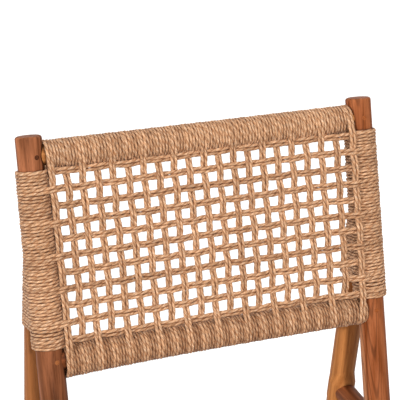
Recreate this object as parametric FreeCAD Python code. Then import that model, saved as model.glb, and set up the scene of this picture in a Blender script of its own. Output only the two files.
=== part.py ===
import FreeCAD, Part
import os
from math import acos, ceil, cos, floor, pi, radians, sin, sqrt, tan

# Teak dining chair with rope-woven back and seat, in millimetres.
# +Z is up, the chair faces -Y, and left and right are as seen from the front.
# The origin lies on the floor under the middle of the chair's box.

# Stance
post_top_height = 870.0         # floor to the middle of the back posts' top faces
frame_half_width = 223.0        # X of the axes of legs and seat side rails
post_inset = 2.0                # back posts stand this far inside the legs
back_lean = radians(14.1)       # the back posts lean back from the vertical
rear_leg_rake = radians(10.8)   # the rear legs run backwards on their way down
leg_apex_drop = 143.0           # height from the post tops to where post and leg axes cross
rear_leg_top_drop = 160.0       # height from the post tops to the cut top of the rear leg's axis
seat_rail_height = 425.0        # floor to the axes of the seat rails
rear_rail_setback = 45.0        # seat rear rail stands this far in front of the post's landing
stretcher_height = 205.0        # floor to the axes of the side stretchers
cross_stretcher_share = 0.5     # place of the cross stretcher between front and rear legs

# Sticks
post_top_diameter = 33.5
post_foot_diameter = 36.0
post_rim = 3.5
rear_leg_diameter = 35.0
knee_diameter = 38.5            # rear leg's swelling where the seat side rail enters it
knee_forward = 3.0              # its axis stands in front of the leg's
knee_half_height = 14.0
knee_flare = 32.0               # length over which the swelling rises out of the leg
knee_root = 0.5                 # its thin ends lie this deep in the leg
front_leg_diameter = 36.0
front_leg_rim = 6.0
front_leg_rise = 30.0           # front leg stands above the seat rail axes
foot_diameter = 28.0
foot_length = 40.0              # straight lowest stretch of a leg
top_rail_diameter = 27.0
bottom_rail_diameter = 30.0
seat_rail_diameter = 27.0
side_rail_diameter = 29.0
stretcher_diameter = 22.0
back_rail_setback = 1.5         # back rail axes stand behind the post axes
saddle_height = 6.0             # post foot's saddle ends this far above the side rail's axis

# Joints
tenon_diameter = 15.0           # back rails, and side rails into the rear legs
corner_tenon_diameter = 11.5    # seat rails where two of them meet in one leg
corner_tenon_offset = 7.0       # one of the two is raised and the other lowered
rear_rail_tenon_diameter = 13.0
stretcher_tenon_diameter = 12.0
cross_tenon_diameter = 10.0
tenon_reach = 7.0               # a tenon in a post or leg ends this far past its axis
short_tenon_reach = 1.0         # a tenon in a rail or stretcher, past the axis
tenon_root = 30.0               # the tenon's run inside its own rail
mortise_depth_gap = 1.0
joint_clearance = 0.1
peg_diameter = 6.0
peg_inset = 9.0                 # pegs of the legs, from the leg's axis
back_peg_insets = {"left": 5.0, "right": 0.0}   # pegs of the posts, drilled by eye
small_peg_diameter = 4.5
small_peg_inset = 6.0           # pegs of rails and stretchers that hold another
peg_depth = 10.0                # a peg ends this far past the tenon's axis
leg_dowel_diameter = 8.0
leg_dowel_half_length = 14.0
leg_dowel_drops = (180.0, 212.0)   # along the post, from its top
post_dowel_diameter = 10.0
post_dowel_up = 32.0
post_dowel_down = 20.0
glide_diameter = 22.0
glide_thickness = 3.0
glide_stem_diameter = 6.0
glide_stem_length = 14.0

# Rope and weave
rope_diameter = 4.2
rope_clearance = 0.3            # rope stays this far from what it is wound on
column_pitch = 20.0             # as many columns as the frame's width has room for
row_pitch = 21.0
back_rows = 10
seat_rows = 14
top_rail_drop = 25.9            # along the post, from its top to the top rail's axis
top_row_margin = 21.0           # top rail's axis to the first row of the weave
bottom_row_margin = 27.3        # last row of the weave to the bottom rail's axis
seat_row_margin = 23.0          # seat rail axes to the outer rows of the weave
net_thickness = 5.0
net_edge = 3.5                  # a net keeps at least this width beside its outer holes
net_rise = 11.0                 # the weave stands in front of the frame's axes, or above them
winding_loops = 24
winding_inset = 6.5             # a rail's winding starts this far from the post's or leg's side
leg_wrap_start_drop = 155.0     # along the post: from here the turns hold the rear leg too
leg_wrap_end_drop = 243.0       # along the post: below this they go round the post alone
gap_samples_per_loop = 48

V = FreeCAD.Vector
UP = V(0, 0, 1)
ACROSS = V(1, 0, 0)
FORWARD = V(0, -1, 0)
POST_DOWN = V(0, -sin(back_lean), -cos(back_lean))
POST_FRONT = V(0, -cos(back_lean), sin(back_lean))
LEG_DOWN = V(0, sin(rear_leg_rake), -cos(rear_leg_rake))
LEG_FRONT = V(0, -cos(rear_leg_rake), -sin(rear_leg_rake))
SIDES = {"left": -1, "right": 1}

pieces = {}
envelopes = {}
bores = {}


# Places along the side of the chair, as seen from its right

def leg_axis_y(z, post_top_y):
    apex_y = post_top_y - leg_apex_drop * tan(back_lean)
    return apex_y + (post_top_height - leg_apex_drop - z) * tan(rear_leg_rake)


def post_axis_y(z, post_top_y):
    return post_top_y - (post_top_height - z) * tan(back_lean)


post_half_width = frame_half_width - post_inset
side_rail_top = seat_rail_height + side_rail_diameter / 2
seat_spacing = 2 * seat_row_margin + seat_rows * row_pitch
landing_offset = post_axis_y(side_rail_top, 0)
front_offset = landing_offset - rear_rail_setback - seat_spacing
rear_reach = leg_axis_y(glide_thickness, 0) + foot_diameter / 2 / cos(rear_leg_rake)
front_reach = front_offset - front_leg_diameter / 2
post_top_y = -(rear_reach + front_reach) / 2
front_y = post_top_y + front_offset
rear_rail_y = front_y + seat_spacing
landing_y = post_top_y + landing_offset
bottom_rail_drop = top_rail_drop + top_row_margin + back_rows * row_pitch + bottom_row_margin
post_length = (post_top_height - seat_rail_height) / cos(back_lean)


def post_point(side, drop):
    """Point on a post's axis, a distance down the post from its top; side 0 is the middle."""
    return V(side * post_half_width, post_top_y, post_top_height) + POST_DOWN * drop


def post_radius(drop):
    return (post_top_diameter + (post_foot_diameter - post_top_diameter) * drop / post_length) / 2


# Building blocks

def unit(vector):
    return vector / vector.Length


def rod(start, end, diameter):
    return Part.makeCylinder(diameter / 2, (end - start).Length, start, end - start)


def stick(start, down, stations, rim):
    """Turned stick: stations are (distance, diameter) along it, and its first end is rounded."""
    first, last = stations[0][0], stations[-1][0]
    radius = stations[0][1] / 2
    turn = rim * sin(pi / 4)
    points = [V(radius, 0, first + rim)] + [V(d / 2, 0, at) for at, d in stations[1:]]
    edges = [Part.makeLine(V(0, 0, first), V(radius - rim, 0, first))]
    edges.append(Part.Arc(V(radius - rim, 0, first),
                          V(radius - rim + turn, 0, first + rim - turn),
                          points[0]).toShape())
    edges += [Part.makeLine(a, b) for a, b in zip(points, points[1:])]
    edges.append(Part.makeLine(points[-1], V(0, 0, last)))
    edges.append(Part.makeLine(V(0, 0, last), V(0, 0, first)))
    solid = Part.Face(Part.Wire(edges)).revolve(V(0, 0, 0), UP, 360)
    solid.Placement = FreeCAD.Placement(start, FreeCAD.Rotation(UP, down))
    return solid


def all_below(z):
    """A block of all that lies lower than z, to cut away."""
    size = 4 * post_top_height
    return Part.makeBox(size, size, size, V(-size / 2, -size / 2, z - size))


def add(name, solid):
    pieces[name] = solid
    envelopes[name] = solid


def bore(name, tool):
    bores.setdefault(name, []).append(tool)


def cope(name, *hosts):
    """Shape a bar's ends to the round faces of the pieces that it meets."""
    for host in hosts:
        pieces[name] = pieces[name].cut(envelopes[host])


def tenon(name, host, root, end, diameter):
    """Round tenon from inside the bar to its end in the host, with its mortise."""
    pieces[name] = pieces[name].fuse(rod(root, end, diameter)).removeSplitter()
    deeper = end + unit(end - root) * mortise_depth_gap
    bore(host, rod(root, deeper, diameter + 2 * joint_clearance))


def pin(group, start, end, diameter, hosts, envelope=None):
    """Peg or dowel through the hosts, flush with the envelope's face where one is given."""
    solid = rod(start, end, diameter)
    if envelope:
        solid = solid.common(envelopes[envelope])
    pieces.setdefault(group, []).append(solid)
    for host in hosts:
        bore(host, rod(start, end, diameter + 2 * joint_clearance))


# Posts and legs

def make_back_post(name, side):
    post = stick(post_point(side, 0), POST_DOWN,
                 [(0, post_top_diameter), (post_length, post_foot_diameter)], post_rim)
    add(name, post.cut(all_below(seat_rail_height + saddle_height)))


def make_rear_leg(name, side, post):
    top_z = post_top_height - rear_leg_top_drop
    top = V(side * frame_half_width, leg_axis_y(top_z, post_top_y), top_z)
    length = top_z / cos(rear_leg_rake)
    knee = (top_z - seat_rail_height) / cos(rear_leg_rake)
    stations = [(0, rear_leg_diameter), (knee, rear_leg_diameter),
                (length - foot_length, foot_diameter), (length + foot_length, foot_diameter)]
    leg = stick(top, LEG_DOWN, stations, post_rim)
    thin = rear_leg_diameter - 2 * (knee_forward + knee_root)
    swelling = [(knee - knee_half_height - knee_flare, thin), (knee - knee_half_height, knee_diameter),
                (knee + knee_half_height, knee_diameter), (knee + knee_half_height + knee_flare, thin)]
    leg = leg.fuse(stick(top + LEG_FRONT * knee_forward, LEG_DOWN, swelling, post_rim)).removeSplitter()
    add(name, leg.cut(all_below(glide_thickness)).cut(envelopes[post]))


def make_front_leg(name, side):
    top = V(side * frame_half_width, front_y, seat_rail_height + front_leg_rise)
    length = top.z - glide_thickness
    stations = [(0, front_leg_diameter), (top.z - stretcher_height, front_leg_diameter),
                (length - foot_length, foot_diameter), (length, foot_diameter)]
    add(name, stick(top, -UP, stations, front_leg_rim))


# Rails and stretchers

def make_back_rail(name, drop, diameter):
    middle = post_point(0, drop) - POST_FRONT * back_rail_setback
    reach = ACROSS * post_half_width
    add(name, rod(middle - reach, middle + reach, diameter))
    for word, side in SIDES.items():
        post = "back_post_" + word
        cope(name, post)
        outward = ACROSS * side
        end = middle + outward * (post_half_width + tenon_reach)
        tenon(name, post, end - outward * (tenon_reach + tenon_root), end, tenon_diameter)
        spot = middle + outward * (post_half_width - back_peg_insets[word])
        pin("back_rail_pegs", spot + POST_FRONT * post_foot_diameter, spot - POST_FRONT * peg_depth,
            peg_diameter, [post, name], post)


def make_seat_side_rail(name, side, rear_leg, front_leg, post):
    x = side * frame_half_width
    rear_y = leg_axis_y(seat_rail_height, post_top_y)
    rear = V(x, rear_y, seat_rail_height)
    front = V(x, front_y, seat_rail_height)
    add(name, rod(rear, front, side_rail_diameter))
    cope(name, rear_leg, front_leg)
    tenon(name, rear_leg, rear + FORWARD * tenon_root, rear - FORWARD * tenon_reach, tenon_diameter)
    lowered = front - UP * corner_tenon_offset
    tenon(name, front_leg, lowered - FORWARD * tenon_root, lowered + FORWARD * tenon_reach,
          corner_tenon_diameter)
    outward = ACROSS * side
    for spot, leg in ((rear + FORWARD * peg_inset, rear_leg), (lowered - FORWARD * peg_inset, front_leg)):
        pin("seat_rail_pegs", spot + outward * front_leg_diameter, spot - outward * peg_depth,
            peg_diameter, [leg, name], leg)
    envelopes[name] = pieces[name]
    pieces[post] = pieces[post].cut(envelopes[name])
    landing = V(side * post_half_width, landing_y, side_rail_top)
    pin("post_foot_dowels", landing - POST_DOWN * post_dowel_up, landing + POST_DOWN * post_dowel_down,
        post_dowel_diameter, [post, name])


def make_seat_front_rail(name):
    middle = V(0, front_y, seat_rail_height)
    reach = ACROSS * frame_half_width
    add(name, rod(middle - reach, middle + reach, seat_rail_diameter))
    for word, side in SIDES.items():
        leg = "front_leg_" + word
        cope(name, leg, "seat_side_rail_" + word)
        outward = ACROSS * side
        end = middle + outward * (frame_half_width + tenon_reach) + UP * corner_tenon_offset
        tenon(name, leg, end - outward * (tenon_reach + tenon_root), end, corner_tenon_diameter)
        spot = end - outward * (tenon_reach + peg_inset)
        pin("seat_rail_pegs", spot + FORWARD * front_leg_diameter, spot - FORWARD * peg_depth,
            peg_diameter, [leg, name], leg)


def make_crossbar(name, middle, diameter, hosts, host_diameter, tenon_size, peg_group):
    """Bar across the chair between two rails or stretchers that run front to back."""
    reach = ACROSS * frame_half_width
    add(name, rod(middle - reach, middle + reach, diameter))
    for host, side in zip(hosts, SIDES.values()):
        cope(name, host)
        outward = ACROSS * side
        end = middle + outward * (frame_half_width + short_tenon_reach)
        tenon(name, host, end - outward * (short_tenon_reach + tenon_root), end, tenon_size)
        spot = middle + outward * (frame_half_width - small_peg_inset)
        pin(peg_group, spot - UP * host_diameter, spot + UP * small_peg_inset,
            small_peg_diameter, [host, name], host)


def make_side_stretcher(name, side, rear_leg, front_leg):
    x = side * frame_half_width
    rear = V(x, leg_axis_y(stretcher_height, post_top_y), stretcher_height)
    front = V(x, front_y, stretcher_height)
    add(name, rod(rear, front, stretcher_diameter))
    outward = ACROSS * side
    for leg, axis_point, inward in ((rear_leg, rear, FORWARD), (front_leg, front, -FORWARD)):
        cope(name, leg)
        tenon(name, leg, axis_point + inward * tenon_root, axis_point - inward * tenon_reach,
              stretcher_tenon_diameter)
        spot = axis_point + inward * peg_inset
        pin("stretcher_pegs", spot + outward * front_leg_diameter, spot - outward * peg_depth,
            peg_diameter, [leg, name], leg)
    envelopes[name] = pieces[name]


# Hidden dowels and foot glides

def make_rear_leg_dowels(side, post, leg):
    for drop in leg_dowel_drops:
        seam = post_point(side, drop) - POST_FRONT * post_radius(drop)
        half = POST_FRONT * leg_dowel_half_length
        pin("rear_leg_dowels", seam + half, seam - half, leg_dowel_diameter, [post, leg])


def make_foot_glide(leg, x, y):
    disc = rod(V(x, y, 0), V(x, y, glide_thickness), glide_diameter)
    stem_top = V(x, y, glide_thickness + glide_stem_length)
    stem = rod(V(x, y, 0), stem_top, glide_stem_diameter)
    pieces.setdefault("foot_glides", []).append(disc.fuse(stem).removeSplitter())
    bore(leg, rod(V(x, y, 0), stem_top + UP * mortise_depth_gap, glide_stem_diameter + 2 * joint_clearance))


# Rope windings: each is one tube along a helix of arcs, with short straight ends

def biarc(start, start_way, end, end_way):
    """Two arcs from start to end that leave and arrive along the given ways."""
    chord = end - start
    both = start_way + end_way
    spread = 2 * (1 - start_way.dot(end_way))
    along = chord.dot(both)
    arm = (sqrt(along * along + spread * chord.dot(chord)) - along) / spread
    meet = (start + end + (start_way - end_way) * arm) / 2
    return [arc_along(start, start_way, meet), arc_along(end, -end_way, meet)]


def arc_along(start, way, end):
    """Arc from start to end that leaves start along the given way."""
    chord = end - start
    half_turn = acos(max(-1.0, min(1.0, way.dot(unit(chord)))))
    bulge = unit(way - unit(chord) * way.dot(unit(chord)))
    middle = (start + end) / 2 + bulge * (chord.Length / 2 * tan(half_turn / 2))
    return Part.Arc(start, middle, end).toShape()


def wind(name, origin, down, side_way, front_way, stretch, radius_at, reach_at, held_shift=V()):
    """Winding round a stick, over a stretch of distances from its origin.

    The turns pass the stick's two sides. Where reach_at gives a length,
    they also go round a second stick that stands this far behind the first,
    and are shifted towards it sideways.
    """
    start, end = stretch
    half_pitch = (end - start) / (2 * winding_loops)
    edges = []
    last_point, last_way = None, None
    for turn in range(2 * winding_loops + 1):
        at = start + turn * half_pitch
        hand = 1 if turn % 2 == 0 else -1
        reach = reach_at(at + hand * half_pitch / 2)
        radius = radius_at(at, reach)
        base = origin + held_shift if reach else origin
        straight = half_pitch * reach / (2 * reach + pi * radius) * hand
        if reach and hand > 0:
            stops = [(at, 0), (at + straight, reach)]
        elif reach:
            stops = [(at + straight, reach), (at, 0)]
        else:
            stops = [(at, 0)]
        points = [base + down * where + side_way * (hand * radius) - front_way * behind
                  for where, behind in stops]
        if reach:
            way = unit(points[1] - points[0])
        else:
            way = unit(front_way * (-hand * pi * radius) + down * half_pitch)
        if last_point is None:
            last_point = points[0] - way * rope_diameter
            first_point, first_way = last_point, way
            edges.append(Part.makeLine(last_point, points[0]))
        else:
            edges += biarc(last_point, last_way, points[0], way)
        if reach:
            edges.append(Part.makeLine(points[0], points[1]))
        last_point, last_way = points[-1], way
    edges.append(Part.makeLine(last_point, last_point + last_way * rope_diameter))
    path = Part.Wire(Part.__sortEdges__(edges))
    section = Part.Wire(Part.makeCircle(rope_diameter / 2, first_point, first_way))
    tube = path.makePipeShell([section], True, False)
    pieces[name] = tube
    expected = pi * rope_diameter ** 2 / 4 * path.Length
    print(name, "least gap to itself %.2f mm," % least_gap(path, end - start),
          "volume over section times length %.4f" % (tube.Volume / expected))


def least_gap(path, stretch):
    """Least clear space between turns that lie at least half a turn apart, measured on points."""
    count = winding_loops * gap_samples_per_loop
    points = path.discretize(Number=count)
    apart = ceil(gap_samples_per_loop / 2)
    nearest = stretch
    for index, point in enumerate(points):
        for other in points[index + apart:index + 3 * apart]:
            nearest = min(nearest, point.distanceToPoint(other))
    return nearest - rope_diameter


def no_reach(at):
    return 0.0


def leg_reach(at):
    """How far behind the post's axis the rear leg's far cap is centred, where the turns hold both."""
    if not leg_wrap_start_drop <= at <= leg_wrap_end_drop:
        return 0.0
    angle = back_lean + rear_leg_rake
    behind = (at + rope_diameter / 2 - leg_apex_drop / cos(back_lean)) * tan(angle)
    return behind + rear_leg_diameter / 2 * (1 / cos(angle) - 1)


def rope_radius(stick_diameter):
    return stick_diameter / 2 + rope_clearance + rope_diameter / 2


def make_rail_winding(name, middle, diameter, front_way, host_x, host_diameter):
    half = host_x - host_diameter / 2 - winding_inset
    wind(name, middle, ACROSS, unit(front_way.cross(ACROSS)), front_way, (-half, half),
         lambda at, reach: rope_radius(diameter), no_reach)


def make_post_winding(name, side):
    first = top_rail_drop + top_row_margin
    stretch = (first, first + back_rows * row_pitch)

    def radius_at(at, reach):
        widest = max(2 * post_radius(at), rear_leg_diameter)
        return rope_radius(widest + post_inset if reach else widest)

    wind(name, post_point(side, 0), POST_DOWN, ACROSS, POST_FRONT, stretch, radius_at, leg_reach,
         ACROSS * (side * post_inset / 2))


def make_side_rail_winding(name, side):
    origin = V(side * frame_half_width, rear_rail_y, seat_rail_height)
    stretch = (seat_row_margin, seat_row_margin + seat_rows * row_pitch)
    wind(name, origin, FORWARD, ACROSS, UP, stretch,
         lambda at, reach: rope_radius(side_rail_diameter), no_reach)


# Woven panels: one flat net each, edged by the windings round it

def clear_of_winding(stick_diameter, rise):
    """Distance from a wound stick's axis to the net's edge."""
    round_rope = stick_diameter / 2 + rope_diameter + 2 * rope_clearance
    return sqrt(round_rope ** 2 - (rise - net_thickness / 2) ** 2)


def make_net(name, origin, along, normal, side_x, side_diameter, rails, first_row, rows):
    """Net across the chair: rails are (distance, diameter, rise over the rail) along it."""
    half_width = side_x - clear_of_winding(side_diameter, net_rise)
    (near, near_diameter, near_rise), (far, far_diameter, far_rise) = rails
    low = near + clear_of_winding(near_diameter, near_rise)
    high = far - clear_of_winding(far_diameter, far_rise)
    pair = 2 * rope_diameter
    columns = floor(2 * (half_width - net_edge + pair / 2) / column_pitch)

    def rectangle(left, right, bottom, top):
        corners = [(left, bottom), (right, bottom), (right, top), (left, top), (left, bottom)]
        return Part.makePolygon([origin + ACROSS * a + along * b for a, b in corners])

    wires = [rectangle(-half_width, half_width, low, high)]
    for row in range(rows):
        for column in range(columns):
            left = (column - columns / 2) * column_pitch + pair / 2
            bottom = first_row + row * row_pitch + pair / 2
            wires.append(rectangle(left, left + column_pitch - pair, bottom, bottom + row_pitch - pair))
    face = Part.makeFace(wires, "Part::FaceMakerBullseye")
    net = face.extrude(normal * net_thickness)
    net.translate(normal * (net_rise - net_thickness / 2))
    pieces[name] = net


# The chair

for word, side in SIDES.items():
    post = "back_post_" + word
    rear_leg = "rear_leg_" + word
    front_leg = "front_leg_" + word
    make_back_post(post, side)
    make_rear_leg(rear_leg, side, post)
    make_front_leg(front_leg, side)
    make_seat_side_rail("seat_side_rail_" + word, side, rear_leg, front_leg, post)
    make_side_stretcher("side_stretcher_" + word, side, rear_leg, front_leg)
    make_rear_leg_dowels(side, post, rear_leg)
    x = side * frame_half_width
    make_foot_glide(rear_leg, x, leg_axis_y(glide_thickness, post_top_y))
    make_foot_glide(front_leg, x, front_y)

make_back_rail("back_top_rail", top_rail_drop, top_rail_diameter)
make_back_rail("back_bottom_rail", bottom_rail_drop, bottom_rail_diameter)
make_seat_front_rail("seat_front_rail")
make_crossbar("seat_rear_rail", V(0, rear_rail_y, seat_rail_height), seat_rail_diameter,
              ["seat_side_rail_" + word for word in SIDES], side_rail_diameter,
              rear_rail_tenon_diameter, "seat_rail_pegs")
stretcher_rear_y = leg_axis_y(stretcher_height, post_top_y)
cross_y = front_y + (stretcher_rear_y - front_y) * cross_stretcher_share
make_crossbar("cross_stretcher", V(0, cross_y, stretcher_height), stretcher_diameter,
              ["side_stretcher_" + word for word in SIDES], stretcher_diameter,
              cross_tenon_diameter, "stretcher_pegs")

for name, drop, diameter in (("back_top_rail", top_rail_drop, top_rail_diameter),
                             ("back_bottom_rail", bottom_rail_drop, bottom_rail_diameter)):
    rail_middle = post_point(0, drop) - POST_FRONT * back_rail_setback
    make_rail_winding(name + "_winding", rail_middle, diameter, POST_FRONT, post_half_width, post_foot_diameter)
for name, rail_y, host in (("seat_front_rail", front_y, front_leg_diameter),
                           ("seat_rear_rail", rear_rail_y, side_rail_diameter)):
    make_rail_winding(name + "_winding", V(0, rail_y, seat_rail_height), seat_rail_diameter, UP,
                      frame_half_width, host)
for word, side in SIDES.items():
    make_post_winding("back_post_winding_" + word, side)
    make_side_rail_winding("seat_side_rail_winding_" + word, side)

over_back_rail = net_rise + back_rail_setback
make_net("back_net", post_point(0, 0), POST_DOWN, POST_FRONT, post_half_width, post_foot_diameter,
         [(top_rail_drop, top_rail_diameter, over_back_rail),
          (bottom_rail_drop, bottom_rail_diameter, over_back_rail)],
         top_rail_drop + top_row_margin, back_rows)
make_net("seat_net", V(0, rear_rail_y, seat_rail_height), FORWARD, UP, frame_half_width, side_rail_diameter,
         [(0, seat_rail_diameter, net_rise), (seat_spacing, seat_rail_diameter, net_rise)],
         seat_row_margin, seat_rows)

os.makedirs("parts", exist_ok=True)
for name, solid in pieces.items():
    if isinstance(solid, list):
        solid = Part.Compound(solid)
    for tool in bores.get(name, []):
        solid = solid.cut(tool)
    solid.exportStep("parts/" + name + ".step")
    print("%-30s solids %d  valid %s  volume %.0f" % (name, len(solid.Solids), solid.isValid(), solid.Volume))
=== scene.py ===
from math import acos, atan2, cos, hypot, pi, radians, sin

import bpy
import numpy as np
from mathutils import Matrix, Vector


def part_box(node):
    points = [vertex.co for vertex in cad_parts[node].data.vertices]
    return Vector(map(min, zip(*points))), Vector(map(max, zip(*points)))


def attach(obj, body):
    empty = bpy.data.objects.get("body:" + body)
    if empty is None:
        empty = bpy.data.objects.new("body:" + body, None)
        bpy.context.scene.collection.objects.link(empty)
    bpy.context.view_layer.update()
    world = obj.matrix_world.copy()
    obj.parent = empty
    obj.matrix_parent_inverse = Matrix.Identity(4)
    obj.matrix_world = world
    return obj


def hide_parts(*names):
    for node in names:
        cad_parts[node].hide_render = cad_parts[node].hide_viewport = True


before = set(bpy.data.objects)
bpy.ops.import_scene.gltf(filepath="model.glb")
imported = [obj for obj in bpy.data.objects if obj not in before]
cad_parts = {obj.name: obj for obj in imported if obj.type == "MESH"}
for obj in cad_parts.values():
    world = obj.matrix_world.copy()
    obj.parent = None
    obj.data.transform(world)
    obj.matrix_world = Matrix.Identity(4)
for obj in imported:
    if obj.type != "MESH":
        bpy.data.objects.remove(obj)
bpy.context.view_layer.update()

# Teak dining chair with rope-woven back and seat.
# Rope and sticks are measured in millimetres and turned into metres where objects are made.
# Wood patterns, lamps and camera are in metres.
# +Z is up, the chair faces -Y, and left and right are as seen from the front.

MM = 0.001
ACROSS = np.array((1.0, 0.0, 0.0))
UP = np.array((0.0, 0.0, 1.0))
FORWARD = np.array((0.0, -1.0, 0.0))

# Rope
ply_radius = 2.10               # one of the two plies
ply_offset = 0.50               # ply's middle from the rope's middle
rope_lay = 26.0                 # length of one full twist
rope_lay_spread = 1.6
rope_step = 2.2                 # distance between the rings of a rope's mesh
# Points round a rope's section, whose plies meet at 90 and 270 degrees
section_angles = np.radians((20, 55, 90, 125, 160, 200, 235, 270, 305, 340))
rope_bed = 2.15                 # rope's middle above the wood that it is wound on
wound_share = 0.88              # thickness that a rope keeps where it is drawn tight in a winding
tuck_depth = 2.6                # a rope's ends dive this far into the turns
tuck_length = 9.0
fibre_spread = 9000.0           # each rope takes its fibre from another stretch of the pattern

# How light the ropes of a piece are, from 0 to 1
plain_tones = (0.45, 1.0)
upright_tones = (0.50, 1.0)
crossing_tones = (0.33, 0.88)
# painted shade: the bottom rail's rope is made darker
bottom_shaded_tones = (0.0, 0.2)

# Bake map of a rope piece: rows of unrolled rope, and one more row for the ends
row_margin = 0.04               # share of a row that stays free on each side
end_share = 0.4                 # radius of a rope's end, as a share of its cell

# Weave
columns = 21
column_pitch = 20.0
row_pitch = 21.0
pair_offset = 2.15              # a rope's middle from the middle of its pair
weave_swing = 1.9               # a rope's way over or under a crossing
weave_samples = 9               # between two crossings
pair_drift = 0.22               # a pair's uneven way
rope_drift = 0.10               # and that of each rope in it
drift_spans = (9.0, 21.0, 44.0)

# Weave of the back
back_rows = 11
back_first_row = 20.9           # from the top rail's axis
last_row_drop = 1.7             # the lowest row is pushed down to the bottom rail
low_rows_rise = 0.9             # and the rows over it are drawn up a little
low_rows_middle = 6.5           # most of all round this row, counted from 0
low_rows_spread = 1.6
row_sag = 0.95                  # the rows hang a little at a quarter of their way
row_sag_place = 115.0
row_sag_spread = 65.0
row_hitch = 3.5                 # and are drawn up at the left post
row_hitch_reach = 26.0
last_column_shift = 1.2         # the right column stands a little farther out
back_height = 9.3               # the weave's mid plane in front of the post axes, in the middle
back_side_rise = 13.0           # and how much farther it comes forward at the posts
back_side_power = 6             # which it does close to them
back_top_dip = 4.0              # it lies farther back under the top rail
back_bottom_dip = 2.5           # and over the bottom rail

# Weave of the seat
seat_rows = 15
seat_first_row = 23.0           # from the rear rail's axis
seat_height = 12.0              # the weave's mid plane over the rail axes
seat_sag = 3.0                  # in the middle of the seat

# Windings
turns_between = 3               # turns between two pairs of the weave
turns_under_pair = 2            # more turns lie under each pair
turn_under_depth = 0.9          # and this much deeper
turn_slant = 0.25               # the turns lie askew by about this much
extra_turn = (1.1, 0.4)         # the right post has a turn over its first row, from and to so many turns up
coil_start = 0.78               # a winding's turns start and end behind the stick
over_share = 0.80               # share of a turn that a woven rope over the front takes at its end
under_share = 0.94              # and one that leaves behind
samples_per_turn = 60

# Sticks that carry rope
rail_setback = 1.5              # back rail axes behind the post axes
top_rail_radius = 13.5
bottom_rail_radius = 15.0
seat_rail_radius = 13.5
side_rail_radius = 14.5
post_radius_top = 16.82         # at the top rail
post_radius_growth = 0.0027     # per millimetre down the post
post_winding_growth = 0.003     # the winding also thickens on its way down
post_winding_shift = 0.6        # and lies a little towards the weave
leg_wrap_start = 129.1          # from the top rail: turns from here hold the rear leg too
leg_wrap_end = 217.1
leg_wrap_slope = 0.4642         # rear leg's way back from the post, per millimetre down
leg_wrap_base = 122.5           # post and leg axes cross here
leg_outset = 0.8                # the turns round the rear leg lie a little outside those round the post
top_swell = 1.2                 # the top rail's winding is thicker at its left end
top_hang = 0.9                  # and hangs lower everywhere else
top_swell_power = 4
bottom_swell = 3.7              # the bottom rail's winding is thicker and hangs lower at its left end
bottom_swell_power = 3.5

# Teak
leg_rake = radians(10.8)        # the rear legs' grain leans with them
pattern_shift = 0.4             # each stick is cut from another place
grain_lean = 0.022              # and its grain runs a little askew
broad_grain = (55.0, 55.0, 3.0)     # waves per metre: two ways across the stick, and along it
streak_grain = (230.0, 230.0, 5.0)
vein_grain = (95.0, 95.0, 1.9)
pore_grain = (1500.0, 1500.0, 38.0)
ring_grain = (1.0, 1.0, 0.055)
ring_scale = 42.0
foot_shade_full = 0.54             # painted shade: a stick is darkened by a given factor towards the lower of these heights
foot_shade_start = 0.78
end_grain = (0.80, 0.84, 0.92, 1.0)
shade_nook_reach = 0.008              # painted shade: wood is darkened this near to other pieces and to its own hollows
wood_gloss = 0.08               # mirror strength, where varnish has 0.5
dark_peg_height = 0.75          # pegs of the left post are dark from here up

# Pointed figure of flat-sawn teak on the right post
arch_tip = (0.2142, 0.553)      # across and up
arch_bend = 1250.0              # per metre
arch_pitch = 0.055
arch_drift = 0.03

# Painted light: a pale strip along the inner side of the right post
edge_light_x = 0.2049               # it lies inwards of this X
edge_light_blend = 0.0014
edge_light_top = 0.62

# Studio
floor_size = 16.0
floor_grey = 0.50
floor_glow = 0.78               # seen directly only, on top of the lamps' light
sky_light = 0.24                # strength of the sky as a light
sky_seen = 1.0                  # and where it is seen
back_centre = (0.0, 0.1, 0.65)
seat_centre = (0.0, 0.1, 0.5)
lamps = (                       # name, place, target, width and power of each square lamp
    ("key", (-1.14, -8.0, 5.75), back_centre, 0.55, 795.0),
    ("side", (-2.9, -2.2, 1.9), back_centre, 1.2, 40.0),
    ("rear", (-2.6, 1.7, 1.3), back_centre, 1.6, 30.0),
    ("back", (2.2, 2.6, 3.2), back_centre, 1.6, 50.0),
    ("top", (0.0, 0.4, 2.9), seat_centre, 2.0, 8.0),
)

# Photograph's view
camera_place = (-0.594, -1.5114, 1.512)
camera_turn = (radians(67.28), 0.0, radians(-19.225))
focal_pixels = 1512.0
image_pixels = 400.0
sensor_width = 36.0

rng = np.random.default_rng(7)


def unit(vector):
    return vector / np.linalg.norm(vector)


def centre(node):
    """Middle of a CAD node's box, in millimetres."""
    low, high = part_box(node)
    return np.array((low + high) / 2) / MM


def linear(red, green, blue):
    """Colour from display values of 0 to 255."""
    shares = np.array((red, green, blue)) / 255
    return tuple(np.where(shares < 0.04045, shares / 12.92, ((shares + 0.055) / 1.055) ** 2.4)) + (1.0,)


def grey(value):
    return (value, value, value, 1.0)


# Materials

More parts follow.
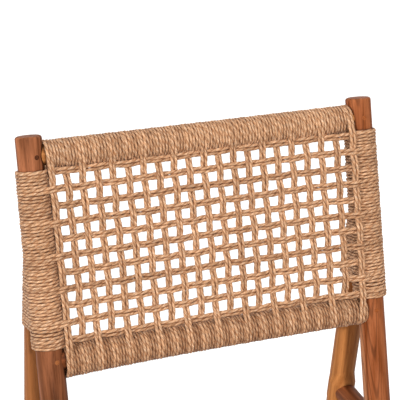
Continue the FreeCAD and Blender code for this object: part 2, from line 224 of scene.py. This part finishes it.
class Nodes:
    """Builds one material's node tree."""

    def __init__(self, name):
        self.material = bpy.data.materials.new(name)
        self.material.use_nodes = True
        self.tree = self.material.node_tree
        self.shader = self.tree.nodes["Principled BSDF"]

    def add(self, kind, inputs=None, **settings):
        node = self.tree.nodes.new("ShaderNode" + kind)
        for key, value in settings.items():
            setattr(node, key, value)
        for key, value in (inputs or {}).items():
            self.set(node.inputs[key], value)
        return node

    def set(self, socket, value):
        """Links a socket to another one, or gives it a constant."""
        if isinstance(value, bpy.types.NodeSocket):
            self.tree.links.new(value, socket)
        else:
            socket.default_value = value

    def scaled(self, vector, scale):
        return self.add("VectorMath", {0: vector, 1: scale}, operation="MULTIPLY").outputs[0]

    def noise(self, vector, detail=3.0, roughness=0.55, distortion=0.0):
        made = self.add("TexNoise", {"Vector": vector, "Scale": 1.0, "Detail": detail,
                                     "Roughness": roughness, "Distortion": distortion})
        return made.outputs["Fac"]

    def math(self, operation, first, second=0.0):
        return self.add("Math", {0: first, 1: second}, operation=operation).outputs[0]

    def weighed(self, *parts):
        """Sum of values, each times its weight."""
        total = 0.0
        for value, weight in parts:
            total = self.math("ADD", total, self.math("MULTIPLY", value, weight))
        return total

    def ramp(self, factor, *stops):
        made = self.add("ValToRGB", {"Fac": factor})
        band = made.color_ramp
        while len(band.elements) < len(stops):
            band.elements.new(0.5)
        for element, (place, colour) in zip(band.elements, stops):
            element.position = place
            element.color = colour
        return made.outputs["Color"]

    def mix(self, factor, first, second, blend="MIX"):
        made = self.add("Mix", data_type="RGBA", blend_type=blend)
        self.set(made.inputs[0], factor)
        self.set(made.inputs[6], first)
        self.set(made.inputs[7], second)
        return made.outputs[2]

    def times(self, colour, factor, *stops):
        """Colour times what a ramp makes of a factor."""
        return self.mix(1.0, colour, self.ramp(factor, *stops), "MULTIPLY")

    def bump(self, height, strength, distance):
        made = self.add("Bump", {"Height": height, "Strength": strength, "Distance": distance})
        self.set(self.shader.inputs["Normal"], made.outputs[0])

    def finish(self, colour, roughness):
        self.set(self.shader.inputs["Base Color"], colour)
        self.set(self.shader.inputs["Roughness"], roughness)
        return self.material


def with_painted_edge_light(made, wood, axes, colour):
    """Wood with a pale strip of painted light on the side that faces -X."""
    beyond = made.math("DIVIDE", made.math("SUBTRACT", edge_light_x, axes.outputs["X"]), edge_light_blend)
    below = made.math("LESS_THAN", axes.outputs["Z"], edge_light_top)
    share = made.ramp(made.math("MULTIPLY", beyond, below), (0.0, grey(0.0)), (1.0, grey(0.9)))
    return made.mix(share, wood, colour)


def with_arches(made, wood, axes, tip, drift):
    """Wood with dark pointed arches, one over the other, that follow its own drift."""
    aside = made.math("SUBTRACT", axes.outputs["X"], tip[0])
    bend = made.math("MULTIPLY", made.math("POWER", aside, 2.0), arch_bend)
    rise = made.math("SUBTRACT", made.math("SUBTRACT", axes.outputs["Z"], bend), tip[1])
    rise = made.math("ADD", rise, made.math("MULTIPLY", drift, arch_drift))
    wave = made.math("COSINE", made.math("MULTIPLY", rise, 2 * pi / arch_pitch))
    return made.times(wood, wave, (0.35, grey(1.0)), (0.95, grey(0.62)))


def teak(name, axis, pale, deep, vein, seed, foot_shade=1.0, arch=None, edge_light=None):
    """Oiled teak with its grain along the stick's own axis.

    Low down it is darkened by a given factor, as painted shade. arch is where the tip of a pointed figure
    shows, and a given colour paints a strip of light along the stick's inner edge.
    """
    made = Nodes(name)
    shift = np.random.default_rng(seed).uniform(-pattern_shift, pattern_shift, 3)
    lean = np.random.default_rng(seed + 100).normal(0.0, grain_lean, 3)
    turn = Vector(axis + lean).rotation_difference(Vector(UP)).to_euler()
    place = made.add("TexCoord").outputs["Object"]
    axes = made.add("SeparateXYZ", {"Vector": place})
    along = made.add("Mapping", {"Vector": place, "Rotation": turn, "Location": shift}).outputs[0]
    broad = made.noise(made.scaled(along, broad_grain), 2.0)
    streak = made.noise(made.scaled(along, streak_grain), 3.0, 0.6, 0.4)
    veins = made.noise(made.scaled(along, vein_grain), 2.0, 0.5, 0.5)
    pores = made.noise(made.scaled(along, pore_grain), 2.0, 0.6)
    rings = made.add("TexWave", {"Vector": made.scaled(along, ring_grain), "Scale": ring_scale,
                                 "Distortion": 5.0, "Detail": 2.0, "Detail Scale": 0.7},
                     wave_type="RINGS", rings_direction="Z").outputs["Fac"]
    normal = made.add("NewGeometry").outputs["Normal"]
    facing = made.add("VectorMath", {0: normal, 1: tuple(axis)}, operation="DOT_PRODUCT")
    endwise = made.math("ABSOLUTE", facing.outputs["Value"])
    nook_shade = made.add("AmbientOcclusion", {"Distance": shade_nook_reach}, samples=8).outputs["AO"]

    figure = made.weighed((streak, 0.62), (rings, 0.2), (broad, 0.34))
    wood = made.ramp(figure, (0.38, deep), (0.76, pale))
    wood = made.mix(made.ramp(veins, (0.60, grey(0.0)), (0.72, grey(0.75))), wood, vein)
    # painted light: a pale strip along the inner edge
    if edge_light:
        wood = with_painted_edge_light(made, wood, axes, edge_light)
    wood = made.times(wood, pores, (0.30, grey(0.62)), (0.44, grey(1.0)))
    height = axes.outputs["Z"]
    # painted shade: darker towards the bottom
    wood = made.times(wood, height, (foot_shade_full, grey(foot_shade)), (foot_shade_start, grey(1.0)))
    if arch:
        wood = with_arches(made, wood, axes, arch, broad)
    wood = made.times(wood, endwise, (0.72, grey(1.0)), (0.95, end_grain))
    # painted shade in joints and hollows, from an ambient-occlusion node
    wood = made.times(wood, nook_shade, (0.42, grey(0.22)), (0.72, grey(1.0)))
    made.bump(made.weighed((pores, 0.6), (streak, 1.0)), 0.22, 0.0006)
    made.shader.inputs["Specular IOR Level"].default_value = wood_gloss
    return made.finish(wood, made.ramp(streak, (0.3, grey(0.48)), (0.7, grey(0.62))))


def rope_fibre():
    """Twisted seagrass-like fibre: streaks along the plies, with painted shade in the creases between them
    and where ropes touch.
    """
    made = Nodes("rope_fibre")
    ply = made.add("Attribute", attribute_name="ply").outputs["Vector"]
    tone, painted_crease_shade, painted_groove_shade = (made.add("Attribute", attribute_name=label).outputs["Fac"]
                            for label in ("tone", "painted_crease_shade", "painted_groove_shade"))
    fibre = made.noise(made.scaled(ply, (0.20, 3.2, 3.2)), 4.0, 0.65)
    strand = made.noise(made.scaled(ply, (0.20, 1.2, 1.2)), 1.0)
    straw = made.ramp(fibre, (0.28, linear(154, 101, 61)), (0.50, linear(213, 166, 127)),
                      (0.72, linear(240, 217, 194)))
    straw = made.times(straw, strand, (0.34, grey(0.68)), (0.66, grey(1.18)))
    straw = made.times(straw, tone, (0.0, linear(202, 189, 176)), (1.0, linear(255, 252, 246)))
    # painted shade in the creases between the plies
    straw = made.times(straw, painted_crease_shade, (0.35, grey(1.0)), (1.0, (0.56, 0.42, 0.31, 1.0)))
    # painted shade in the grooves between neighbouring ropes and turns
    straw = made.times(straw, painted_groove_shade, (0.50, grey(1.0)), (0.92, (0.42, 0.28, 0.19, 1.0)))
    made.bump(fibre, 0.5, 0.0005)
    made.shader.inputs["Specular IOR Level"].default_value = 0.20
    made.shader.inputs["Sheen Weight"].default_value = 0.05
    made.shader.inputs["Sheen Roughness"].default_value = 0.5
    return made.finish(straw, made.ramp(fibre, (0.3, grey(0.62)), (0.7, grey(0.78))))


def peg_wood():
    """Ends of round pegs: pale on the left, dark high on the left post, wood-toned on the right."""
    made = Nodes("peg_wood")
    place = made.add("TexCoord").outputs["Object"]
    axes = made.add("SeparateXYZ", {"Vector": place})
    on_left = made.math("LESS_THAN", axes.outputs["X"], 0.0)
    high = made.math("GREATER_THAN", axes.outputs["Z"], dark_peg_height)
    grain = made.noise(made.scaled(place, (900.0, 900.0, 900.0)), 3.0)
    pale = made.ramp(grain, (0.35, linear(124, 72, 40)), (0.62, linear(170, 104, 60)))
    dark = made.ramp(grain, (0.35, linear(52, 26, 14)), (0.62, linear(92, 50, 28)))
    plain = made.ramp(grain, (0.35, linear(126, 66, 32)), (0.62, linear(158, 88, 46)))
    wood = made.mix(made.math("MULTIPLY", on_left, high), made.mix(on_left, plain, pale), dark)
    made.bump(grain, 0.3, 0.0004)
    made.shader.inputs["Specular IOR Level"].default_value = wood_gloss
    return made.finish(wood, made.ramp(grain, (0.3, grey(0.4)), (0.7, grey(0.6))))


def glide_nylon():
    """Dark scuffed nylon."""
    made = Nodes("glide_nylon")
    place = made.add("TexCoord").outputs["Object"]
    cloud = made.noise(made.scaled(place, (160.0, 160.0, 160.0)), 4.0)
    scuff = made.noise(made.scaled(place, (1400.0, 900.0, 900.0)), 3.0)
    colour = made.ramp(cloud, (0.3, linear(46, 36, 30)), (0.7, linear(70, 56, 46)))
    made.bump(scuff, 0.35, 0.0004)
    return made.finish(colour, made.ramp(scuff, (0.35, grey(0.42)), (0.65, grey(0.62))))


rope_material = rope_fibre()

# Rope meshes

section_radius = (ply_offset * np.abs(np.cos(section_angles))
                  + np.sqrt(ply_radius ** 2 - (ply_offset * np.sin(section_angles)) ** 2))
# painted shade: from 0 on the plies' crests to 1 in the creases between them
section_crease_shade = (section_radius.max() - section_radius) / (section_radius.max() - section_radius.min())
sides = len(section_angles)


class RopeMesh:
    """Gathers twisted ropes, each a closed tube, into one piece."""

    def __init__(self, tones=plain_tones):
        self.ropes = []
        self.tones = tones

    def lay(self, path, across, neighbour=0, share=1.0):
        """Adds a rope of a share of full thickness; across is a direction that its path never takes.

        Another rope lies beside it on that side, on the other one for -1, or on both for 0, and painted
        shade darkens the sides that face it.
        """
        steps = np.linalg.norm(np.diff(path, axis=0), axis=1)
        travel = np.concatenate(([0.0], np.cumsum(steps)))
        count = max(3, int(round(travel[-1] / rope_step)))
        length = np.linspace(0.0, travel[-1], count)
        path = np.stack([np.interp(length, travel, path[:, axis]) for axis in range(3)], axis=1)
        way = np.gradient(path, axis=0)
        way /= np.linalg.norm(way, axis=1)[:, None]
        first = across - way * (way @ across)[:, None]
        first /= np.linalg.norm(first, axis=1)[:, None]
        second = np.cross(way, first)
        lay = rope_lay + rope_lay_spread * rng.normal()
        angle = section_angles - (2 * pi * length / lay + rng.uniform(0.0, 2 * pi))[:, None]
        outward = np.cos(angle)[..., None] * first[:, None] + np.sin(angle)[..., None] * second[:, None]
        rings = path[:, None] + share * section_radius[:, None] * outward
        beside = np.cos(angle)
        # painted shade on the sides that face a neighbouring rope or turn
        painted_groove_shade = np.clip(neighbour * beside, 0.0, 1.0) if neighbour else np.abs(beside)
        tone = rng.uniform(*self.tones)
        start = rng.uniform(0.0, fibre_spread)
        self.ropes.append((rings, length, painted_groove_shade, tone, start))

    def build(self, name, *nodes):
        """Makes the piece and stands it for CAD nodes."""
        points, quads, caps = [], [], []
        fields = {"ply": [], "tone": [], "painted_crease_shade": [], "painted_groove_shade": []}
        offset = 0
        for rings, length, painted_groove_shade, tone, start in self.ropes:
            count = len(rings)
            points.append(rings.reshape(-1, 3))
            along = np.repeat(length + start, sides)
            fields["ply"].append(np.stack((along, np.tile(np.cos(section_angles), count),
                                           np.tile(np.sin(section_angles), count)), axis=-1))
            fields["tone"].append(np.full(count * sides, tone))
            fields["painted_crease_shade"].append(np.tile(section_crease_shade, count))
            fields["painted_groove_shade"].append(painted_groove_shade.ravel())
            corners = [offset + ring * sides + side % sides for ring, side in quad_corners(count)]
            quads.append(np.stack(corners, axis=-1).reshape(-1, 4))
            first_end = offset + np.arange(sides)
            caps.append(first_end[::-1])
            caps.append(first_end + (count - 1) * sides)
            offset += count * sides
        faces = np.concatenate(quads).tolist() + [cap.tolist() for cap in caps]
        mesh = bpy.data.meshes.new(name)
        mesh.from_pydata((np.concatenate(points) * MM).tolist(), [], faces)
        mesh.shade_smooth()
        bake = mesh.uv_layers.new(name="OFBake")
        bake.data.foreach_set("uv", self.bake_map().astype(np.float32).ravel())
        for label, values in fields.items():
            is_vector = label == "ply"
            field = mesh.attributes.new(label, "FLOAT_VECTOR" if is_vector else "FLOAT", "POINT")
            field.data.foreach_set("vector" if is_vector else "value",
                                   np.concatenate(values).astype(np.float32).ravel())
        mesh.materials.append(rope_material)
        piece = bpy.data.objects.new(name, mesh)
        bpy.context.scene.collection.objects.link(piece)
        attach(piece, "root")
        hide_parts(*nodes)

    def bake_map(self):
        """Places of all face corners on the bake map, in the order of the faces."""
        total = sum(length[-1] for rings, length, painted_groove_shade, tone, start in self.ropes)
        rows = int(np.ceil(np.sqrt(total / (2 * pi * ply_radius)))) + 1
        row_length = total / (rows - 1)
        row_reach = row_length + 2 * rope_step
        cell = 1.0 / (2 * len(self.ropes))
        disc = end_share * min(cell, 1.0 / rows)
        quad_map, cap_map = [], []
        travelled = 0.0
        for rings, length, painted_groove_shade, tone, start in self.ropes:
            row = np.floor((travelled + length[:-1]) / row_length)[:, None]
            corners = []
            for ring, side in quad_corners(len(rings)):
                along = (travelled + length[ring] - row * row_length) / row_reach
                aside = (row + row_margin + (1 - 2 * row_margin) * side / sides) / rows
                corners.append(np.stack(np.broadcast_arrays(along, aside), axis=-1))
            quad_map.append(np.stack(corners, axis=-2).reshape(-1, 2))
            for order in (-1, 1):
                middle = (len(cap_map) + 0.5) * cell
                circle = np.stack((middle + disc * np.cos(section_angles),
                                   (rows - 0.5) / rows + disc * np.sin(section_angles)), axis=-1)
                cap_map.append(circle[::order])
            travelled += length[-1]
        return np.concatenate(quad_map + cap_map)


def quad_corners(count):
    """Ring and side of the four corners of all quads in a tube of count rings."""
    ring = np.arange(count - 1)[:, None]
    side = np.arange(sides)[None, :]
    return (ring, side), (ring, side + 1), (ring + 1, side + 1), (ring + 1, side)


# Wound sticks and the weave between them

def nothing(at):
    """Zero at every place along a stick."""
    return 0.0 * at


def outline(share, radius, reach):
    """Points round a stick, and round a second one that stands behind it by reach.

    The share of the way round starts at the side that faces the weave and goes over the front.
    """
    half = pi * radius
    way = share % 1.0 * (2 * half + 2 * reach)
    front = way / radius
    rear = pi + (way - half - reach) / radius
    pieces = [way < half, way < half + reach, way < 2 * half + reach]
    inward = np.select(pieces, [radius * np.cos(front), -radius, radius * np.cos(rear)], radius)
    forward = np.select(pieces, [radius * np.sin(front), half - way, radius * np.sin(rear) - reach],
                        way - 2 * half - 2 * reach)
    return inward, forward


class Stick:
    """A stick that carries turns of rope: its axis, the way to the weave and the way to the front.

    At a place along it, radius is how far the rope lies from its axis, reach how far a second stick
    stands behind it, and sink how far the rope moves away from the weave.
    """

    def __init__(self, origin, axis, inward, front, radius, reach=nothing, sink=nothing):
        self.origin, self.axis, self.inward, self.front = origin, axis, inward, front
        self.radius, self.reach, self.sink = radius, reach, sink

    def around(self, share, radius, reach):
        """Points round the stick; a second stick behind it stands a little outside it."""
        inward, forward = outline(share, radius, reach)
        full_reach = (leg_wrap_end - leg_wrap_base) * leg_wrap_slope
        return inward - leg_outset * np.clip(-forward, 0.0, reach) / full_reach, forward

    def point(self, at, inward, forward):
        """Points of the chair's frame from places along the stick and beside its axis."""
        at, inward, forward = np.broadcast_arrays(at, inward - self.sink(at), forward)
        return (self.origin + at[:, None] * self.axis + inward[:, None] * self.inward
                + forward[:, None] * self.front)

    def tail(self, at, target, over):
        """End of a woven rope, from its hidden tip round the stick to where it leaves for the target."""
        radius, reach = self.radius(at), self.reach(at)
        base = atan2(target[1], target[0])
        spread = acos(radius / hypot(*target))
        perimeter = 2 * pi * radius + 2 * reach
        if over:
            leave = (base + spread) * radius / perimeter
            share = np.linspace(leave + over_share, leave, samples_per_turn)
        else:
            angle = base - spread
            if reach:
                angle = max(0.0, angle)
            leave = 1.0 + angle * radius / perimeter
            share = np.linspace(leave - under_share, leave, samples_per_turn)
        gone = np.abs(share - share[0]) * perimeter
        return self.around(share, radius - tuck(gone), reach)

    def coil(self, mesh, start, end, turns, sunk=0.0):
        """Turns of rope along the stick, a little uneven, that step on behind it."""
        turn = np.linspace(0.0, turns, turns * samples_per_turn)
        at = start + (end - start) * (turn + np.sin(2 * pi * turn) / (2 * pi)) / turns
        slant = rng.normal(0.0, turn_slant, 2)
        at = at + slant[0] * np.sin(2 * pi * turn) + slant[1] * np.cos(2 * pi * turn)
        radius = self.radius(at) - sunk
        gone = np.minimum(turn, turns - turn) * 2 * pi * radius
        inward, forward = self.around(turn + coil_start, radius - tuck(gone), self.reach(at))
        mesh.lay(self.point(at, inward, forward), self.axis, share=wound_share)


def tuck(gone):
    """Depth of a rope that dives in at its tip, by the way gone from there."""
    return tuck_depth * np.clip(1 - gone / tuck_length, 0.0, 1.0) ** 2


def wobble(places, amount):
    """Small smooth sideways drift of a rope."""
    waves = 0.0
    for span in drift_spans:
        waves = waves + rng.normal() * np.sin(places / span + rng.uniform(0, 2 * pi))
    return amount * waves


def weave(mesh, near, far, gap, lines, stops, height, first_over, bow=nothing):
    """Pairs of ropes from one stick to another, over and under each crossing pair.

    lines are the pairs' places along the sticks, stops the crossings between the sticks,
    height gives the weave's height over the sticks' axes at a line and a place between them,
    bow the pairs' way along the sticks at a place.
    """
    places = np.linspace(stops[0], stops[-1], (len(stops) - 1) * weave_samples + 1)
    crossing = np.interp(places, stops, np.arange(len(stops)))
    for number, line in enumerate(lines):
        over = (number % 2 == 0) == first_over
        swing = weave_swing if over else -weave_swing
        lift = height(line, places) + swing * np.cos(pi * crossing)
        drift = wobble(places, pair_drift) + bow(places)
        for offset in (-pair_offset, pair_offset):
            at = line + offset
            start = near.tail(at, (stops[0] + near.sink(at), lift[0]), over)
            end = far.tail(at, (gap - stops[-1] + far.sink(at), lift[-1]), over)
            middle = near.point(at + drift + wobble(places, rope_drift), places + near.sink(at), lift)
            path = np.concatenate((near.point(at, *start), middle, far.point(at, *end)[::-1]))
            mesh.lay(path, near.axis, -np.sign(offset))


def wind_between(mesh, stick, lines):
    """Turns of winding between the pairs that end on a stick, and hidden ones under each pair."""
    for line, following in zip(lines, lines[1:]):
        pitch = (following - line - 2 * pair_offset) / (turns_between + 1)
        margin = pair_offset + pitch / 2
        stick.coil(mesh, line + margin, following - margin, turns_between)
    reach = turns_under_pair * pair_offset
    for line in lines:
        stick.coil(mesh, line - reach, line + reach, turns_under_pair, turn_under_depth)


def turn_width(pitch):
    """Room for one turn, where the pairs of the weave stand a pitch apart."""
    return pitch / (turns_between + 2)


def wind_beyond(mesh, stick, lines, pitch):
    """One more turn after the last pair."""
    width = turn_width(pitch)
    stick.coil(mesh, lines[-1] + width, lines[-1] + 2 * width, 1)


def column_lines():
    """Places of the columns, from the middle of the chair."""
    return (np.arange(columns) - (columns - 1) / 2) * column_pitch


def make_back():
    """Weave of the back and the windings of its rails and posts."""
    top, bottom = centre("back_top_rail"), centre("back_bottom_rail")
    down = unit(bottom - top)
    front = np.array((0.0, down[2], -down[1]))
    half_width = centre("back_post_right")[0]
    gap = np.linalg.norm(bottom - top)
    middle = top + front * rail_setback

    def left_share(at):
        return np.clip(0.5 - at / (2 * half_width), 0.0, 1.0)

    def top_sink(at):
        return top_hang * (left_share(at) ** top_swell_power - 1)

    def top_bed(at):
        return top_rail_radius + rope_bed + top_swell * left_share(at) ** top_swell_power - top_sink(at)

    def bottom_sink(at):
        return bottom_swell * left_share(at) ** bottom_swell_power

    def bottom_bed(at):
        return bottom_rail_radius + rope_bed + bottom_sink(at)

    def post_bed(at):
        return post_radius_top + (post_radius_growth + post_winding_growth) * at + rope_bed

    def leg_reach(at):
        held = (at >= leg_wrap_start) & (at <= leg_wrap_end)
        return np.where(held, (at - leg_wrap_base) * leg_wrap_slope, 0.0)

    def height(across, drop):
        rise = back_side_rise * np.abs(2 * across / ((columns - 1) * column_pitch)) ** back_side_power
        dip = back_top_dip * np.exp((back_first_row - drop) / (2 * row_pitch))
        dip = dip + back_bottom_dip * np.exp(-np.abs(drop - rows[-1]) / row_pitch)
        return back_height + rise - dip

    def row_bow(place):
        sag = row_sag * np.exp(-((place - row_sag_place) / row_sag_spread) ** 2)
        return sag - row_hitch * np.exp(-place / row_hitch_reach)

    lines = column_lines()
    lines[-1] += last_column_shift
    numbers = np.arange(back_rows)
    rows = back_first_row + numbers * row_pitch
    rows -= low_rows_rise * np.exp(-((numbers - low_rows_middle) / low_rows_spread) ** 2)
    rows[-1] += last_row_drop

    reach = half_width - post_winding_shift
    upper = Stick(top, ACROSS, down, front, top_bed, sink=top_sink)
    lower = Stick(bottom, ACROSS, -down, front, bottom_bed, sink=bottom_sink)
    left = Stick(middle - ACROSS * reach, down, ACROSS, front, post_bed, leg_reach)
    right = Stick(middle + ACROSS * reach, down, -ACROSS, front, post_bed, leg_reach)

    uprights, crossings = RopeMesh(upright_tones), RopeMesh(crossing_tones)
    weave(uprights, upper, lower, gap, lines, rows,
          lambda line, place: height(line, place) + rail_setback, True)
    weave(crossings, left, right, 2 * reach, rows, lines + reach,
          lambda line, place: height(place - reach, line), False, row_bow)
    uprights.build("back_weave_uprights", "back_net")
    crossings.build("back_weave_crossings", "back_net")

    mesh = RopeMesh()
    wind_between(mesh, upper, lines)
    mesh.build("back_top_rail_rope", "back_top_rail_winding")
    mesh = RopeMesh(bottom_shaded_tones)
    wind_between(mesh, lower, lines)
    wind_beyond(mesh, lower, lines, column_pitch)
    mesh.build("back_bottom_rail_rope", "back_bottom_rail_winding")
    for stick, word in ((left, "left"), (right, "right")):
        mesh = RopeMesh()
        wind_between(mesh, stick, rows)
        wind_beyond(mesh, stick, rows, row_pitch)
        if word == "right":
            start, end = (rows[0] - turns * turn_width(row_pitch) for turns in extra_turn)
            stick.coil(mesh, start, end, 1)
        mesh.build("back_post_rope_" + word, "back_post_winding_" + word)


def make_seat():
    """Weave of the seat and the windings of its rails."""
    rear, fore = centre("seat_rear_rail"), centre("seat_front_rail")
    half_width = centre("front_leg_right")[0]
    gap = np.linalg.norm(fore - rear)

    def rail_bed(at):
        return seat_rail_radius + rope_bed + nothing(at)

    def side_bed(at):
        return side_rail_radius + rope_bed + nothing(at)

    def height(across, along):
        middle = np.sin(pi * np.clip(along / gap, 0.0, 1.0)) * (1 - (across / half_width) ** 2)
        return seat_height - seat_sag * middle

    back = Stick(rear, ACROSS, FORWARD, UP, rail_bed)
    front = Stick(fore, ACROSS, -FORWARD, UP, rail_bed)
    left = Stick(rear - ACROSS * half_width, FORWARD, ACROSS, UP, side_bed)
    right = Stick(rear + ACROSS * half_width, FORWARD, -ACROSS, UP, side_bed)
    lines = column_lines()
    rows = seat_first_row + np.arange(seat_rows) * row_pitch

    lengthwise, crosswise = RopeMesh(), RopeMesh()
    weave(lengthwise, back, front, gap, lines, rows, height, True)
    weave(crosswise, left, right, 2 * half_width, rows, lines + half_width,
          lambda line, place: height(place - half_width, line), False)
    lengthwise.build("seat_weave_lengthwise", "seat_net")
    crosswise.build("seat_weave_crosswise", "seat_net")
    for stick, places, rope, winding in (
            (back, lines, "seat_rear_rail_rope", "seat_rear_rail_winding"),
            (front, lines, "seat_front_rail_rope", "seat_front_rail_winding"),
            (left, rows, "seat_side_rail_rope_left", "seat_side_rail_winding_left"),
            (right, rows, "seat_side_rail_rope_right", "seat_side_rail_winding_right")):
        mesh = RopeMesh()
        wind_between(mesh, stick, places)
        mesh.build(rope, winding)


# Wood, pegs and glides keep their CAD shapes

def finish_wood():
    """Gives each stick its own teak, and the pegs and glides their materials."""
    post_axis = unit(centre("back_bottom_rail") - centre("back_top_rail"))
    leg_axis = np.array((0.0, sin(leg_rake), -cos(leg_rake)))
    red = (linear(174, 103, 63), linear(129, 66, 29), linear(90, 44, 18))
    brown = (linear(170, 105, 69), linear(95, 51, 26), linear(60, 32, 17))
    gold = (linear(194, 127, 71), linear(148, 89, 43), linear(100, 55, 25))
    dusk = (linear(138, 77, 42), linear(98, 51, 24), linear(62, 31, 14))
    tan = (linear(172, 108, 60), linear(130, 77, 37), linear(92, 52, 25))
    finishes = {
        "back_post_left": (post_axis, brown, 1), "back_post_right": (post_axis, red, 2),
        "rear_leg_left": (leg_axis, tan, 3), "rear_leg_right": (leg_axis, gold, 24),
        "front_leg_left": (UP, red, 5), "front_leg_right": (UP, red, 6),
        "back_top_rail": (ACROSS, gold, 7), "back_bottom_rail": (ACROSS, dusk, 8),
        "seat_side_rail_left": (FORWARD, dusk, 9), "seat_side_rail_right": (FORWARD, dusk, 10),
        "seat_front_rail": (ACROSS, red, 11), "seat_rear_rail": (ACROSS, red, 12),
        "side_stretcher_left": (FORWARD, gold, 13), "side_stretcher_right": (FORWARD, gold, 14),
        "cross_stretcher": (ACROSS, gold, 15),
    }
    extras = {
        # the posts are darkened low down as painted shade, and the right post gets a painted light strip
        "back_post_left": {"foot_shade": 0.80},
        "back_post_right": {"foot_shade": 0.96, "arch": arch_tip, "edge_light": linear(196, 132, 90)},
    }
    for node, (axis, colours, seed) in finishes.items():
        paint(node, teak("teak_" + node, axis, *colours, seed, **extras.get(node, {})))
    pegs = peg_wood()
    for node in ("back_rail_pegs", "seat_rail_pegs", "stretcher_pegs",
                 "post_foot_dowels", "rear_leg_dowels"):
        paint(node, pegs)
    paint("foot_glides", glide_nylon())


def paint(node, material):
    """Gives a CAD piece its material."""
    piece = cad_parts[node]
    for place in piece.material_slots:
        place.material = material


# Floor, sky, lamps and camera

def seen_directly(tree):
    """One for rays that come straight from the camera or by way of a mirror or glass."""
    path = tree.nodes.new("ShaderNodeLightPath")
    total = path.outputs["Is Camera Ray"]
    for ray in ("Is Glossy Ray", "Is Transmission Ray"):
        larger = tree.nodes.new("ShaderNodeMath")
        larger.operation = "MAXIMUM"
        tree.links.new(total, larger.inputs[0])
        tree.links.new(path.outputs[ray], larger.inputs[1])
        total = larger.outputs[0]
    return total


def make_floor():
    """Floor that is white where it is seen; with this much glow the chair's shadow hardly shows."""
    mesh = bpy.data.meshes.new("floor")
    corners = [(x * floor_size, y * floor_size, 0.0) for x, y in ((-1, -1), (1, -1), (1, 1), (-1, 1))]
    mesh.from_pydata(corners, [], [(0, 1, 2, 3)])
    material = bpy.data.materials.new("floor_white")
    material.use_nodes = True
    tree = material.node_tree
    shader = tree.nodes["Principled BSDF"]
    shader.inputs["Base Color"].default_value = grey(floor_grey)
    shader.inputs["Roughness"].default_value = 0.9
    shader.inputs["Specular IOR Level"].default_value = 0.1
    shader.inputs["Emission Color"].default_value = grey(1.0)
    glow = tree.nodes.new("ShaderNodeMath")
    glow.operation = "MULTIPLY"
    tree.links.new(seen_directly(tree), glow.inputs[0])
    glow.inputs[1].default_value = floor_glow
    tree.links.new(glow.outputs[0], shader.inputs["Emission Strength"])
    mesh.materials.append(material)
    floor = bpy.data.objects.new("floor", mesh)
    bpy.context.scene.collection.objects.link(floor)


def make_sky():
    """White sky that is seen brighter than it shines."""
    world = bpy.data.worlds.new("studio")
    bpy.context.scene.world = world
    world.use_nodes = True
    tree = world.node_tree
    sky = tree.nodes["Background"]
    sky.inputs["Color"].default_value = grey(1.0)
    level = tree.nodes.new("ShaderNodeMapRange")
    tree.links.new(seen_directly(tree), level.inputs["Value"])
    level.inputs["To Min"].default_value = sky_light
    level.inputs["To Max"].default_value = sky_seen
    tree.links.new(level.outputs[0], sky.inputs["Strength"])


def make_lamp(name, place, target, width, power):
    """Square lamp that points at a target."""
    lamp = bpy.data.lights.new(name, "AREA")
    lamp.shape = "SQUARE"
    lamp.size = width
    lamp.energy = power
    light = bpy.data.objects.new(name, lamp)
    light.location = place
    light.rotation_euler = (Vector(target) - Vector(place)).to_track_quat("-Z", "Y").to_euler()
    bpy.context.scene.collection.objects.link(light)


def make_camera():
    """Camera that stands where the photograph was taken."""
    lens = bpy.data.cameras.new("photo")
    lens.sensor_width = sensor_width
    lens.lens = sensor_width * focal_pixels / image_pixels
    camera = bpy.data.objects.new("photo", lens)
    camera.location = camera_place
    camera.rotation_euler = camera_turn
    bpy.context.scene.collection.objects.link(camera)
    bpy.context.scene.camera = camera


make_back()
make_seat()
finish_wood()
make_floor()
make_sky()
for settings in lamps:
    make_lamp(*settings)
make_camera()
bpy.context.scene.view_settings.view_transform = "Standard"
